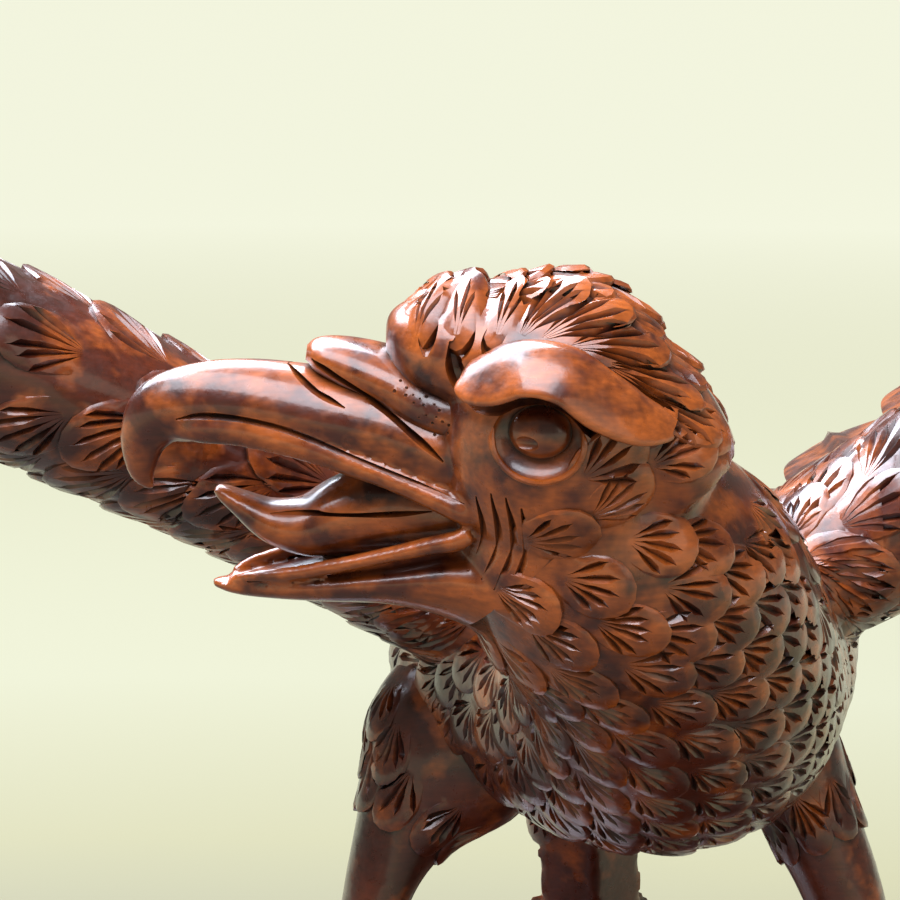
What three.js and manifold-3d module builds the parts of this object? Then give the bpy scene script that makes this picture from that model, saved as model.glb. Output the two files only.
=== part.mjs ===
// Eagle with an open beak and spread wings, standing on a low rock: a carving of one block of hardwood.
// Millimetres, +Z up. The breast faces -Y and the right wing is on -X. The origin is under the rock's middle.
import * as THREE from "three";
import { mergeVertices } from "three/addons/utils/BufferGeometryUtils.js";
import Module from "manifold-3d";

const wasm = await Module();
wasm.setup();

const BODY_FEATHERS = { around: 13, rows: 10, lift: 1.6 };
const ARM_FEATHERS = { around: 6, rows: 5, lift: 1.7 };
const CREST_FEATHERS = { around: 10, rows: 5, lift: 1.4 };
const FLIGHT = {
  count: 10,
  halfWidth: 10,
  halfThickness: 2.6,
  shortest: 54,
  longest: 76,
  droop: 3,
  innermost: 0.22, // where the first and last of them grow, as shares of the arm
  outermost: 0.96,
};
const WING_RISE = 26; // degrees
const TAIL = {
  count: 6,
  halfWidth: 4.6,
  halfThickness: 2.2,
  root: [7, 64, 46],
  tip: [8, 83, 15],
  spread: 7.6,
  droop: 5,
};
const TOES = { turns: [-32, 2, 34, 178], reach: 19, halfWidth: 3.3, talon: 9 };
const ROCK = { halfLength: 66, halfWidth: 76, height: 22, facets: 15 };

// Each form is swept through rows of [x, y, z, half width, half height].
const BODY_KEYS = [
  [-20, -71, 132, 15, 15],
  [-14, -67, 122, 19.5, 18.5],
  [-6, -57, 113, 20.5, 20.5],
  [-1.5, -44, 103.5, 22, 22],
  [0.5, -24, 96, 26.5, 23.5],
  [1, 3, 94, 33.5, 22.5],
  [3, 31, 89, 26, 19],
  [4.5, 51, 79, 17.5, 14],
  [6, 62, 65, 11, 9.5],
  [7, 65, 51, 8.4, 6.6],
];
const WING_KEYS = {
  right: [
    [-6, 7, 99, 19, 12],
    [-26, -3, 107, 19.5, 11.5],
    [-43.3, -11, 117.8, 20, 12],
    [-62, -16, 129, 21, 13.4],
    [-89, -21, 143, 21, 14.6],
    [-112, -22, 154, 19, 12],
    [-134, -16, 164, 15, 9],
    [-152, -5, 174, 9, 5.5],
  ],
  left: [
    [6, 10, 100, 20, 13],
    [22, 4, 106, 20, 13.5],
    [37, 0.5, 114.5, 20.5, 13.5],
    [60, -4, 132, 21, 13],
    [86, -10, 147, 21, 12.6],
    [111, -13, 157, 19, 11],
    [134, -9, 166, 15, 8.5],
    [154, 1.5, 176, 9, 5.5],
  ],
};
const TAIL_POST_KEYS = [
  [5.5, 59, 64, 9, 6.5],
  [7, 63, 46, 8.6, 5.8],
  [8, 65, 29, 9.5, 5.6],
  [8, 65, 12, 10.5, 5.6],
];
const LEG_KEYS = {
  right: [
    [-18, 0, 94, 12, 14],
    [-27.5, -4, 82, 10.5, 11],
    [-33, -6, 72, 6.4, 7.4],
    [-37, -8, 61, 4.7, 6],
    [-39, -10, 46, 4.6, 5.4],
    [-40, -12, 33, 4.8, 5.4],
    [-40, -13, 24, 6, 6.4],
  ],
  left: [
    [15, -2, 92, 13, 14],
    [23, -5, 81, 9, 10.5],
    [27.5, -7, 71, 6.8, 8],
    [31.5, -9, 61, 5.8, 6.6],
    [35.5, -11, 46, 5, 5.6],
    [38, -12.5, 33, 5, 5.6],
    [39, -13.5, 24, 6, 6.4],
  ],
};

// The head has a frame of its own: +X is the beak, +Y the left eye's side, and +Z the crown.
const HEAD = { at: [-23.8, -72.2, 137.4], heading: 172, roll: -10 };
const SKULL = { at: [-2.5, 0, 1], radii: [16.3, 17.3, 19.3] };
const JAW = { at: [-2, 0, -12], radii: [13.5, 13.5, 15] };
const EYE = { along: -0.5, up: 5, out: 15.8, socket: 5, rim: 0.8, ball: [4.3, 2.9, 3.3] };
const UPPER_BEAK_KEYS = [
  [6, 0, -1.5, 10, 7.5],
  [17.3, 0, 0.4, 8.6, 6.6],
  [26.6, 0, 2.4, 7.2, 6.3],
  [34.8, 0, 4, 5.8, 5.7],
  [41.6, 0, 4.4, 4.5, 4.8],
  [47.6, 0, 2.2, 3.2, 3.9],
  [50, 0, -2.4, 2, 2.2],
  [48.6, 0, -6.6, 0.6, 0.6],
];
const LOWER_BEAK_KEYS = [
  [4, 0, -17.5, 10.5, 8],
  [11, 0, -17.5, 9, 6.3],
  [18.4, 0, -17.7, 7.6, 4],
  [27, 0, -18.5, 5.6, 2.5],
  [36, 0, -19, 3.2, 1.4],
  [41, 0, -18.6, 0.7, 0.5],
];
const TONGUE_KEYS = [
  [10, 0, -9.5, 6, 3.5],
  [17, 0, -10.3, 5.6, 4.6],
  [24.1, 0, -10.4, 5, 5.3],
  [28.5, 0, -11.8, 4.5, 4],
  [33.5, 0, -11, 3.8, 2.9],
  [36.6, 0, -9.6, 3, 2.2],
  [39.3, 0, -7.2, 1.6, 1.1],
];
const CERE_KEYS = [
  [8, 0, 3, 9.6, 5.6],
  [14, 0, 4.6, 8.6, 5.2],
  [19, 0, 7.4, 7, 4.2],
  [24, 0, 9.6, 5, 3.2],
  [28.4, 0, 10.6, 2.4, 1.7],
];
const CREST_KEYS = [
  [18.8, 0, 13.5, 3.5, 3.8],
  [14, 0, 12.6, 9.5, 7.6],
  [7, 0, 12, 12.6, 9.2],
  [-1, 0, 10.8, 14, 9.4],
  [-9, 0, 7.2, 14.4, 9],
  [-15, 0, 2, 14.2, 8.6],
  [-19, 0, -5, 13.5, 8],
];
const BROW_KEYS = [
  [10.5, 10.5, 10.4, 1.6, 1.6],
  [6.5, 13.6, 12, 3, 3.4],
  [1.6, 15.6, 14, 3.2, 3.3],
  [-3.6, 16.3, 13.9, 3.4, 3.2],
  [-7, 16.6, 11.6, 3.2, 3.2],
  [-11, 15.8, 8.8, 2.8, 3],
  [-15, 14, 7, 2, 2.2],
  [-18, 12, 6, 0.8, 0.8],
];

const X = new THREE.Vector3(1, 0, 0);
const Y = new THREE.Vector3(0, 1, 0);
const Z = new THREE.Vector3(0, 0, 1);
const radians = THREE.MathUtils.degToRad;

// A point at u (0 to 1) on the smooth curve through a list of keys, each a list of numbers.
function along(keys, u) {
  const place = Math.min(Math.max(u, 0), 1) * (keys.length - 1);
  const i = Math.min(Math.floor(place), keys.length - 2);
  const t = place - i;
  const [a, b] = [keys[i], keys[i + 1]];
  const before = keys[i - 1] ?? a.map((v, k) => 2 * v - b[k]);
  const after = keys[i + 2] ?? b.map((v, k) => 2 * v - a[k]);
  return a.map((v, k) => {
    const slope = (b[k] - before[k]) / 2;
    const nextSlope = (after[k] - v) / 2;
    const rise = b[k] - v;
    const bend = 3 * rise - 2 * slope - nextSlope + t * (slope + nextSlope - 2 * rise);
    return v + t * (slope + t * bend);
  });
}

// The frame of a sweep at u: its centre, its two half sizes, and the directions they are measured in.
function stationAt(keys, u, side) {
  const [x, y, z, width, height] = along(keys, u);
  const ahead = along(keys, Math.min(u + 0.01, 1));
  const behind = along(keys, Math.max(u - 0.01, 0));
  const tangent = new THREE.Vector3(...ahead).sub(new THREE.Vector3(...behind)).normalize();
  const across = side.clone().addScaledVector(tangent, -side.dot(tangent)).normalize();
  const over = across.clone().cross(tangent);
  return { centre: new THREE.Vector3(x, y, z), width, height, across, over };
}

const ellipse = (angle) => [Math.cos(angle), Math.sin(angle)];

// A wing is round in front and tapers to the back, which is where the cosine is 1.
function wingSection(angle) {
  const back = (Math.cos(angle) + 1) / 2;
  return [Math.cos(angle), Math.sin(angle) * (1 - 0.6 * back ** 1.5)];
}

function solid(geometry) {
  geometry.deleteAttribute("normal");
  geometry.deleteAttribute("uv");
  const merged = mergeVertices(geometry, 1e-4);
  return new wasm.Manifold(
    new wasm.Mesh({
      numProp: 3,
      vertProperties: new Float32Array(merged.attributes.position.array),
      triVerts: new Uint32Array(merged.index.array),
    }),
  );
}

// A ball whose skin is moved to place(row, column). Rows run from pole to pole.
function reshapedBall(columns, rows, place) {
  const skin = new THREE.SphereGeometry(1, columns, rows);
  const { position, uv } = skin.attributes;
  for (let i = 0; i < position.count; i++) {
    const row = Math.round((1 - uv.getY(i)) * rows);
    const column = Math.round(uv.getX(i) * columns) % columns;
    position.setXYZ(i, ...place(row, column));
  }
  return solid(skin);
}

function onSection(station, section, angle, lift = 0) {
  const [across, over] = section(angle);
  return station.centre
    .clone()
    .addScaledVector(station.across, across * (station.width + lift))
    .addScaledVector(station.over, over * (station.height + lift))
    .toArray();
}

// A closed form swept through keys of [x, y, z, half width, half height].
function sweep(keys, { steps = 10, sides = 8, side = Y, section = ellipse } = {}) {
  return reshapedBall(sides, steps, (row, column) => {
    const station = stationAt(keys, (row - 1) / (steps - 2), side);
    if (row === 0 || row === steps) return station.centre.toArray();
    return onSection(station, section, (column / sides) * 2 * Math.PI);
  });
}

// A sweep covered with rows of round-ended feathers, each row lapping over the roots of the next.
function featheredSweep(keys, feathers, { side, section = ellipse }) {
  const reach = [0, 0.38, 0.5, 0.38]; // of a feather's notch, shoulder, tip and shoulder, in rows
  const columns = feathers.around * reach.length;
  const rows = 2 * feathers.rows + 1;
  return reshapedBall(columns, rows, (row, column) => {
    if (row === 0) return stationAt(keys, 0, side).centre.toArray();
    if (row === rows) return stationAt(keys, 1, side).centre.toArray();
    const count = Math.floor(row / 2);
    const ownReach = reach[(column + (count % 2) * 2) % reach.length];
    const u = count === 0 ? 0 : (count - 0.5 + ownReach) / feathers.rows;
    const isTip = row % 2 === 0;
    const lift = isTip ? feathers.lift * (0.4 + 1.2 * ownReach) : -0.15 * feathers.lift;
    return onSection(stationAt(keys, u, side), section, (column / columns) * 2 * Math.PI, lift);
  });
}

// One flat feather with a rib along each face. Its tip sags by droop, against the direction of up.
function feather(root, direction, { length, halfWidth, halfThickness, side, up, droop }) {
  const outline = [
    [0, 0.6, 1],
    [0.45, 1, 1],
    [0.86, 0.93, 0.85],
    [1, 0.32, 0.35],
  ];
  const keys = outline.map(([t, width, thickness]) => {
    const at = root.clone().addScaledVector(direction, length * t).addScaledVector(up, -droop * t * t);
    return [...at.toArray(), halfWidth * width, halfThickness * thickness];
  });
  return sweep(keys, { steps: outline.length + 1, sides: 4, side });
}

const joined = (solids) => solids.reduce((whole, piece) => whole.add(piece));

// Flight feathers fan from straight back beside the body to nearly straight out at the tip of the wing.
function wing(keys, outward) {
  const arm = featheredSweep(keys, ARM_FEATHERS, { side: Y, section: wingSection });
  const rise = radians(WING_RISE);
  const out = new THREE.Vector3(outward * Math.cos(rise), 0, Math.sin(rise));
  const top = new THREE.Vector3(-outward * Math.sin(rise), 0, Math.cos(rise));
  const feathers = Array.from({ length: FLIGHT.count }, (_, i) => {
    const t = i / (FLIGHT.count - 1);
    const station = stationAt(keys, THREE.MathUtils.lerp(FLIGHT.innermost, FLIGHT.outermost, t), Y);
    const root = station.centre.addScaledVector(station.across, station.width * 0.15);
    root.addScaledVector(top, (i % 2) * 1.4);
    const angle = radians(4 + 16 * t + 52 * t ** 3);
    const direction = Y.clone().multiplyScalar(Math.cos(angle)).addScaledVector(out, Math.sin(angle));
    return feather(root, direction, {
      length: THREE.MathUtils.lerp(FLIGHT.shortest, FLIGHT.longest, Math.sin(Math.PI * 0.62 * t)),
      halfWidth: FLIGHT.halfWidth,
      halfThickness: FLIGHT.halfThickness,
      side: direction.clone().cross(top),
      up: top,
      droop: FLIGHT.droop,
    });
  });
  return joined([arm, ...feathers]);
}

function tail() {
  const post = sweep(TAIL_POST_KEYS, { steps: 6, sides: 4, side: X });
  const feathers = Array.from({ length: TAIL.count }, (_, i) => {
    const step = i - (TAIL.count - 1) / 2;
    const root = new THREE.Vector3(...TAIL.root).addScaledVector(X, 1.1 * step);
    const tip = new THREE.Vector3(...TAIL.tip).addScaledVector(X, TAIL.spread * step);
    tip.addScaledVector(Y, -1.5 * Math.abs(step)).addScaledVector(Z, 2.5 * Math.abs(step));
    const reach = tip.sub(root);
    return feather(root, reach.clone().normalize(), {
      length: reach.length(),
      halfWidth: TAIL.halfWidth,
      halfThickness: TAIL.halfThickness,
      side: X,
      up: Y,
      droop: TAIL.droop,
    });
  });
  return joined([post, ...feathers]);
}

function toe(ankle, turn) {
  const heading = new THREE.Vector3(0, -1, 0).applyAxisAngle(Z, radians(turn));
  const isBack = Math.abs(turn) > 90;
  const reach = isBack ? TOES.reach * 0.75 : TOES.reach;
  const at = (distance, height, half) => {
    const place = ankle.clone().addScaledVector(heading, distance);
    return [place.x, place.y, ROCK.height + height, half, half * 0.95];
  };
  const keys = [
    at(0, 5, 4.4),
    at(reach * 0.45, 5.2, TOES.halfWidth),
    at(reach * 0.78, 3, TOES.halfWidth),
    at(reach, 3, 1.9),
    at(reach + TOES.talon * 0.5, 2.8, 1.5),
    at(reach + TOES.talon, -0.6, 0.4),
  ];
  return sweep(keys, { steps: 8, sides: 5, side: heading.clone().cross(Z) });
}

function leg(keys) {
  const shank = sweep(keys, { steps: 8, sides: 8, side: X });
  const ankle = new THREE.Vector3(...keys.at(-1));
  return joined([shank, ...TOES.turns.map((turn) => toe(ankle, turn))]);
}

function eye(side) {
  const socket = new THREE.TorusGeometry(EYE.socket, EYE.rim, 3, 10).rotateX(Math.PI / 2);
  const ball = new THREE.SphereGeometry(1, 7, 5).scale(...EYE.ball);
  return solid(socket)
    .add(solid(ball))
    .transform(new THREE.Matrix4().makeTranslation(EYE.along, side * EYE.out, EYE.up).toArray());
}

function head() {
  const skull = new THREE.SphereGeometry(1, 12, 8).rotateX(Math.PI / 2);
  const jaw = new THREE.SphereGeometry(1, 10, 6);
  const turned = Y.clone().negate();
  const mirrored = BROW_KEYS.map(([a, c, b, w, h]) => [a, -c, b, w, h]);
  const pieces = [
    solid(skull.scale(...SKULL.radii).translate(...SKULL.at)),
    solid(jaw.scale(...JAW.radii).translate(...JAW.at)),
    sweep(UPPER_BEAK_KEYS, { steps: 13, sides: 8, side: turned }),
    sweep(LOWER_BEAK_KEYS, { steps: 8, sides: 8, side: turned }),
    sweep(TONGUE_KEYS, { steps: 8, sides: 6, side: turned }),
    sweep(CERE_KEYS, { steps: 7, sides: 8, side: turned }),
    sweep(BROW_KEYS, { steps: 8, sides: 6, side: Y }),
    sweep(mirrored, { steps: 8, sides: 6, side: Y }),
    featheredSweep(CREST_KEYS, CREST_FEATHERS, { side: turned }),
    eye(1),
    eye(-1),
  ];
  const place = new THREE.Matrix4().makeTranslation(...HEAD.at);
  place.multiply(new THREE.Matrix4().makeRotationZ(radians(HEAD.heading)));
  place.multiply(new THREE.Matrix4().makeRotationX(radians(HEAD.roll)));
  return joined(pieces).transform(place.toArray());
}

// A low faceted rock with a flat underside.
function rock() {
  const rings = [
    [0, 1],
    [0.55, 1],
    [0.86, 0.9],
    [1, 0.45],
    [0.97, 0],
    [0, 0],
  ];
  return reshapedBall(ROCK.facets, rings.length - 1, (row, column) => {
    const [radius, height] = rings[row];
    const angle = (column / ROCK.facets) * 2 * Math.PI;
    const rough = 1 + 0.05 * Math.sin(3 * angle + row) + 0.04 * Math.sin(7 * angle - 2 * row);
    const x = ROCK.halfLength * radius * rough * Math.cos(angle);
    const y = ROCK.halfWidth * radius * rough * Math.sin(angle);
    return [x, y, ROCK.height * height * (1 + 0.06 * radius * Math.sin(5 * angle + row))];
  });
}

const carving = joined([
  featheredSweep(BODY_KEYS, BODY_FEATHERS, { side: X }),
  wing(WING_KEYS.right, -1),
  wing(WING_KEYS.left, 1),
  tail(),
  leg(LEG_KEYS.right),
  leg(LEG_KEYS.left),
  head(),
  rock(),
]);

function meshOf(name, manifold, material) {
  const { vertProperties, triVerts } = manifold.getMesh();
  const geometry = new THREE.BufferGeometry();
  geometry.setAttribute("position", new THREE.BufferAttribute(vertProperties, 3));
  geometry.setIndex(new THREE.BufferAttribute(triVerts, 1));
  const mesh = new THREE.Mesh(geometry, material);
  mesh.name = name;
  return mesh;
}

const stainedHardwood = new THREE.MeshStandardMaterial({ color: 0x5a2716, roughness: 0.32, metalness: 0 });
const group = new THREE.Group();
group.add(meshOf("eagle_carving", carving, stainedHardwood));

export default group;
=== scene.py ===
import math
import random

import bmesh
import bpy
from mathutils import Matrix, Vector
from mathutils.bvhtree import BVHTree


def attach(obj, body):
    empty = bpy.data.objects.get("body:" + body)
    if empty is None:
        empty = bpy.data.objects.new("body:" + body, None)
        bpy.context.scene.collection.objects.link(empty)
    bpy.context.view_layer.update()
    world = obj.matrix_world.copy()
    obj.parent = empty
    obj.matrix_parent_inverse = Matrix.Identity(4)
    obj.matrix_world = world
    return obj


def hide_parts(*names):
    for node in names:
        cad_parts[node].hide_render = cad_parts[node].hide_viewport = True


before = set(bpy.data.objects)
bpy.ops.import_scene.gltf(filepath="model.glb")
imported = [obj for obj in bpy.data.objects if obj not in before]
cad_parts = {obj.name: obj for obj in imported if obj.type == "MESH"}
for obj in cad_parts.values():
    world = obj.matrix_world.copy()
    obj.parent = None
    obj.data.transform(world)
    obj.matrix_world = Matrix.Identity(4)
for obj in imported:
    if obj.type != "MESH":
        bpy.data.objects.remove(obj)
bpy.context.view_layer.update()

# The block. The bird is carved from one piece of hardwood: a round head and a body that tapers to
# the tail post, with two arms of wing from the shoulders. This section roughs out the smooth form
# that the feathers are cut on. The carving is worked in millimetres and made metres at its end.
BODY = [
    [-20, -71, 132, 15, 15], [-14, -67, 122, 19.5, 18.5], [-6, -57, 113, 20.5, 20.5],
    [-1.5, -44, 103.5, 22, 22], [0.5, -24, 96, 26.5, 23.5], [1, 3, 94, 33.5, 22.5],
    [3, 31, 89, 26, 19], [4.5, 51, 79, 17.5, 14], [6, 62, 65, 11, 9.5], [7, 65, 51, 8.4, 6.6],
]
RIGHT_WING = [
    [-6, 7, 99, 19, 12], [-26, -3, 107, 19.5, 11.5], [-43.3, -11, 117.8, 20, 12], [-62, -16, 129, 21, 13.4],
    [-89, -21, 143, 21, 14.6], [-112, -22, 154, 19, 12], [-134, -16, 164, 15, 9], [-152, -5, 174, 9, 5.5],
]
LEFT_WING = [
    [6, 10, 100, 20, 13], [22, 4, 106, 20, 13.5], [37, 0.5, 114.5, 20.5, 13.5], [60, -4, 132, 21, 13],
    [86, -10, 147, 21, 12.6], [111, -13, 157, 19, 11], [134, -9, 165.6, 15, 8.5], [154, 1.5, 175.2, 9, 5.5],
]
CROWN = [
    [19, 0, 12.6, 2, 2], [17.6, 0, 12.6, 5, 4.6], [14, 0, 12.2, 8.6, 6.6], [7, 0, 11.6, 11.6, 8.2],
    [-1, 0, 10.2, 13, 8.4], [-9, 0, 6.6, 13.4, 8], [-15, 0, 1.4, 13.4, 7.8], [-19, 0, -5, 12.8, 7.2],
]
head_place = (Matrix.Translation((-23.8, -72.2, 137.4)) @ Matrix.Rotation(math.radians(172), 4, "Z")
              @ Matrix.Rotation(math.radians(-10), 4, "X"))
head_turn = head_place.to_3x3()
X, Y, Z = Vector((1, 0, 0)), Vector((0, 1, 0)), Vector((0, 0, 1))


def along(keys, share):
    """The numbers of the keys at a share of the way along one smooth curve through them."""
    place = min(max(share, 0), 1) * (len(keys) - 1)
    i = min(int(place), len(keys) - 2)
    t = place - i
    a, b = keys[i], keys[i + 1]
    before = keys[i - 1] if i else [2 * v - w for v, w in zip(a, b)]
    after = keys[i + 2] if i + 2 < len(keys) else [2 * w - v for v, w in zip(a, b)]
    numbers = []
    for w, v, nxt, last in zip(before, a, b, after):
        slope, next_slope, rise = (nxt - w) / 2, (last - v) / 2, nxt - v
        bend = 3 * rise - 2 * slope - next_slope + t * (slope + next_slope - 2 * rise)
        numbers.append(v + t * (slope + t * bend))
    return numbers


def round_section(angle, share):
    return math.cos(angle), math.sin(angle)


def wing_section(angle, share):
    """Round in front, thinning to the trailing edge."""
    back = (math.cos(angle) + 1) / 2
    return math.cos(angle), math.sin(angle) * (1 - 0.6 * back ** 1.5)


def station(keys, share, side):
    """The centre, the half sizes and the two cross directions of a sweep at a share of its length."""
    x, y, z, width, height = along(keys, share)
    ahead = Vector(along(keys, share + 0.01)[:3]) - Vector(along(keys, share - 0.01)[:3])
    ahead.normalize()
    across = (side - ahead * side.dot(ahead)).normalized()
    return Vector((x, y, z)), width, height, across, across.cross(ahead), ahead


def sweep(keys, side, around=36, steps=24, section=round_section, place=Matrix()):
    """A closed form swept along the keys: one ring of points, extruded from station to station."""
    form = bmesh.new()
    turn = form.verts.layers.float.new("turn")
    ring = bmesh.ops.create_circle(form, segments=around, radius=1)["verts"]
    for point in ring:
        point[turn] = math.atan2(point.co.y, point.co.x)
    edges = form.edges[:]
    for step in range(steps + 1):
        if step:
            grown = bmesh.ops.extrude_edge_only(form, edges=edges)["geom"]
            ring = [part for part in grown if isinstance(part, bmesh.types.BMVert)]
            new = set(ring)
            edges = [part for part in grown
                     if isinstance(part, bmesh.types.BMEdge) and new.issuperset(part.verts)]
        centre, width, height, across, over, _ = station(keys, step / steps, side)
        for point in ring:
            c, s = section(point[turn], step / steps)
            point.co = place @ (centre + across * c * width + over * s * height)
    bmesh.ops.holes_fill(form, edges=[edge for edge in form.edges if edge.is_boundary], sides=0)
    bmesh.ops.recalc_face_normals(form, faces=form.faces)
    return form


def ball(at, radii, place=Matrix(), fineness=4):
    form = bmesh.new()
    bmesh.ops.create_icosphere(form, subdivisions=fineness, radius=1)
    bmesh.ops.transform(form, matrix=place @ Matrix.Translation(at) @ Matrix.Diagonal((*radii, 1)),
                        verts=form.verts)
    return form


def as_object(forms, name):
    """One object from one or more loose forms."""
    whole = bmesh.new()
    for form in forms:
        part = bpy.data.meshes.new(name)
        form.to_mesh(part)
        form.free()
        whole.from_mesh(part)
        bpy.data.meshes.remove(part)
    mesh = bpy.data.meshes.new(name)
    whole.to_mesh(mesh)
    whole.free()
    piece = bpy.data.objects.new(name, mesh)
    bpy.context.scene.collection.objects.link(piece)
    return piece


def applied(piece):
    """Puts what the object's modifiers make into its own mesh."""
    settled = bpy.data.meshes.new_from_object(piece.evaluated_get(bpy.context.evaluated_depsgraph_get()))
    piece.modifiers.clear()
    piece.data = settled
    return piece


def melted(forms, name, grain, rounds):
    """Forms that run into each other, made one skin and rubbed smooth."""
    piece = as_object(forms, name)
    remesh = piece.modifiers.new("one skin", "REMESH")
    remesh.mode = "VOXEL"
    remesh.voxel_size = grain
    rub = piece.modifiers.new("rubbed", "SMOOTH")
    rub.factor = 0.5
    rub.iterations = rounds
    return applied(piece)


def combine(piece, tools, operation):
    """Adds the tool forms to the piece, or cuts them from it."""
    tool = as_object(tools, "tool")
    step = piece.modifiers.new("step", "BOOLEAN")
    step.solver = "MANIFOLD"
    step.operation = operation
    step.object = tool
    applied(piece)
    bpy.data.objects.remove(tool)


def cut_away(piece, at, facing):
    """Saws off what lies beyond a plane, and closes the cut."""
    form = bmesh.new()
    form.from_mesh(piece.data)
    bmesh.ops.bisect_plane(form, geom=form.verts[:] + form.edges[:] + form.faces[:], dist=1e-4,
                           plane_co=at, plane_no=facing, clear_outer=True)
    bmesh.ops.holes_fill(form, edges=[edge for edge in form.edges if edge.is_boundary], sides=0)
    form.to_mesh(piece.data)
    form.free()


def swept_clean(piece):
    """Drops the loose chips that the cuts have split off, which are under 4 mm long."""
    form = bmesh.new()
    form.from_mesh(piece.data)
    seen, chips = set(), []
    for first in form.verts:
        if first in seen:
            continue
        seen.add(first)
        part = [first]
        for vert in part:
            for edge in vert.link_edges:
                other = edge.other_vert(vert)
                if other not in seen:
                    seen.add(other)
                    part.append(other)
        if all((vert.co - first.co).length < 4 for vert in part):
            chips += part
    bmesh.ops.delete(form, geom=chips, context="VERTS")
    form.to_mesh(piece.data)
    form.free()


def skin_of(piece):
    return BVHTree.FromPolygons([point.co for point in piece.data.vertices],
                                [face.vertices[:] for face in piece.data.polygons])


def copied(piece, name):
    twin = bpy.data.objects.new(name, piece.data.copy())
    bpy.context.scene.collection.objects.link(twin)
    return twin


def skull():
    """The round of the head, its cheeks and the low cap that the crown's locks are cut on."""
    return [ball((-2.5, 0, 1), (16.3, 17.3, 19.3), head_place), ball((-2, 0, -12), (13.5, 13.5, 15), head_place),
            sweep(CROWN, -Y, 36, 30, place=head_place)]


torso = melted([sweep(BODY, X, 48, 40), *skull()], "torso", 1.2, 16)
torso_skin = skin_of(torso)
block = melted([sweep(BODY, X, 48, 40), *skull(), sweep(RIGHT_WING, Y, 36, 40, wing_section),
                sweep(LEFT_WING, Y, 36, 40, wing_section)], "block", 1.1, 16)
block_skin = skin_of(block)


# The finish. Close-grained hardwood stained a dark red-brown under semi-gloss lacquer: deep colour,
# painted shade that turns it near black in the cuts, orange where handling wore it thin, fine dark pores
# along the grain, and a clear coat that gives broad soft reflections.
def colour(hex_code):
    """A linear colour from an sRGB hex code."""
    values = [int(hex_code[i:i + 2], 16) / 255 for i in (0, 2, 4)]
    return [*(v / 12.92 if v <= 0.04045 else ((v + 0.055) / 1.055) ** 2.4 for v in values), 1]


def add(tree, kind, values={}, links={}, **settings):
    """Adds a node with its settings, its inputs' values and what feeds its inputs."""
    made = tree.nodes.new(kind)
    for name, value in settings.items():
        setattr(made, name, value)
    for name, value in values.items():
        made.inputs[name].default_value = value
    for name, source in links.items():
        tree.links.new(source, made.inputs[name])
    return made


def ramp(made, stops):
    """Sets the stops of a colour ramp node."""
    band = made.color_ramp
    while len(band.elements) < len(stops):
        band.elements.new(0.5)
    for element, (at, tint) in zip(band.elements, stops):
        element.position = at
        element.color = tint
    return made


GREY = lambda v: [v, v, v, 1]
wood = bpy.data.materials.new("stained_lacquered_hardwood")
wood.use_nodes = True
tree = wood.node_tree
shader = tree.nodes["Principled BSDF"]
place = add(tree, "ShaderNodeTexCoord").outputs["Object"]
# stain lies unevenly in patches about 14 mm across
patches = add(tree, "ShaderNodeTexNoise", {"Scale": 1 / 0.014, "Detail": 4, "Roughness": 0.6}, {"Vector": place})
stain = ramp(add(tree, "ShaderNodeValToRGB", links={"Fac": patches.outputs["Fac"]}),
             [(0.3, colour("34120a")), (0.5, colour("4c1b0d")), (0.7, colour("6c2b10"))])
# worn places are about 6 mm across, and lie mostly on the head, which hands reach first
worn_patches = add(tree, "ShaderNodeTexNoise", {"Scale": 1 / 0.006, "Detail": 3, "Roughness": 0.55},
                   {"Vector": place})
head_distance = add(tree, "ShaderNodeVectorMath", {1: (-0.032, -0.082, 0.137)}, {0: place},
                    operation="DISTANCE")
near_head = add(tree, "ShaderNodeMapRange", {"From Min": 0.02, "From Max": 0.075, "To Min": 0.16, "To Max": 0},
                {"Value": head_distance.outputs["Value"]})
raised = add(tree, "ShaderNodeAmbientOcclusion", {"Distance": 0.0016}, samples=6, inside=True)
edges = add(tree, "ShaderNodeMapRange", {"From Min": 0.5, "From Max": 0.95, "To Min": 0.14, "To Max": 0},
            {"Value": raised.outputs["AO"]})
handled = add(tree, "ShaderNodeMath", links={0: worn_patches.outputs["Fac"], 1: near_head.outputs["Result"]})
worn_sum = add(tree, "ShaderNodeMath", links={0: handled.outputs["Value"], 1: edges.outputs["Result"]})
worn = add(tree, "ShaderNodeMapRange", {"From Min": 0.56, "From Max": 0.8}, {"Value": worn_sum.outputs["Value"]})
# grain streaks 0.6 mm wide and about 12 mm long run from wing to wing
streak_place = add(tree, "ShaderNodeMapping", {"Scale": (1 / 0.012, 1 / 0.0006, 1 / 0.0006)}, {"Vector": place})
streaks = add(tree, "ShaderNodeTexNoise", {"Scale": 1, "Detail": 3}, {"Vector": streak_place.outputs["Vector"]})
orange = add(tree, "ShaderNodeMix", {7: colour("a9531c")},
             {0: worn.outputs["Result"], 6: stain.outputs["Color"]}, data_type="RGBA")
grain_tone = add(tree, "ShaderNodeMapRange", {"From Min": 0.3, "From Max": 0.7, "To Min": 0.72, "To Max": 1.15},
                 {"Value": streaks.outputs["Fac"]})
grained = add(tree, "ShaderNodeMix", {0: 1.0}, {6: orange.outputs[2], 7: grain_tone.outputs["Result"]},
              data_type="RGBA", blend_type="MULTIPLY")
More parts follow.
